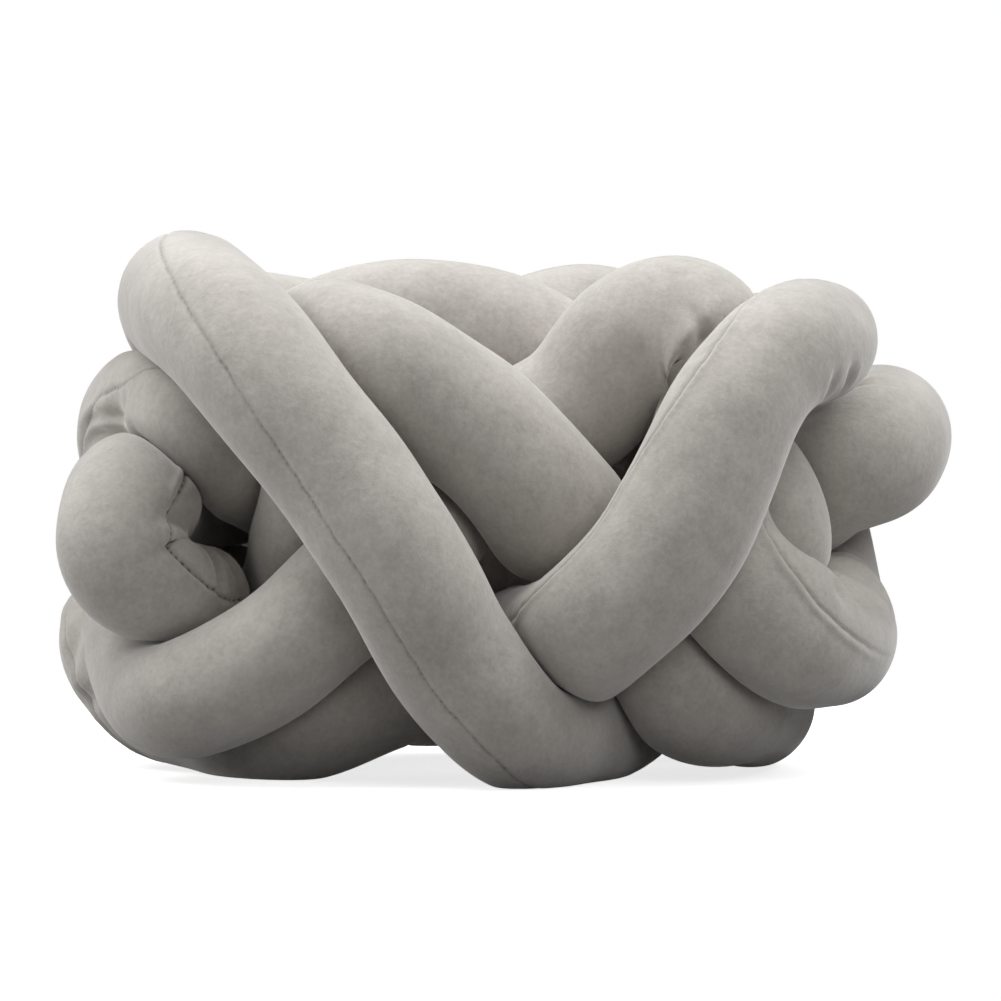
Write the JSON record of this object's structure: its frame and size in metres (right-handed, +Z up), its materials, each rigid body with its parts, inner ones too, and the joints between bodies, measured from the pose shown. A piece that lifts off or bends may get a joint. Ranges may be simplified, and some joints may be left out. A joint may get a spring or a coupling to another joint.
{
  "type": "braided crib bumper",
  "caption": "Soft crib bumper plaited from thick stuffed plush tubes, rolled up into an upright oval bundle.",
  "frame": {"origin": "centre of the bounding box's bottom face, on the surface that the roll rests on", "axes": "+Z up, +X to the right along the roll's long side, +Y from the front of the roll to its back"},
  "size_m": [0.419, 0.3255, 0.2483],
  "materials": {
    "plush": "matt short-pile velvet plush, warm light grey"
  },
  "bodies": {
    "root": {"strand_1": "plush", "strand_2": "plush", "strand_3": "plush", "strand_4": "plush", "strand_5": "plush", "strand_6": "plush"}
  },
  "joints": []
}
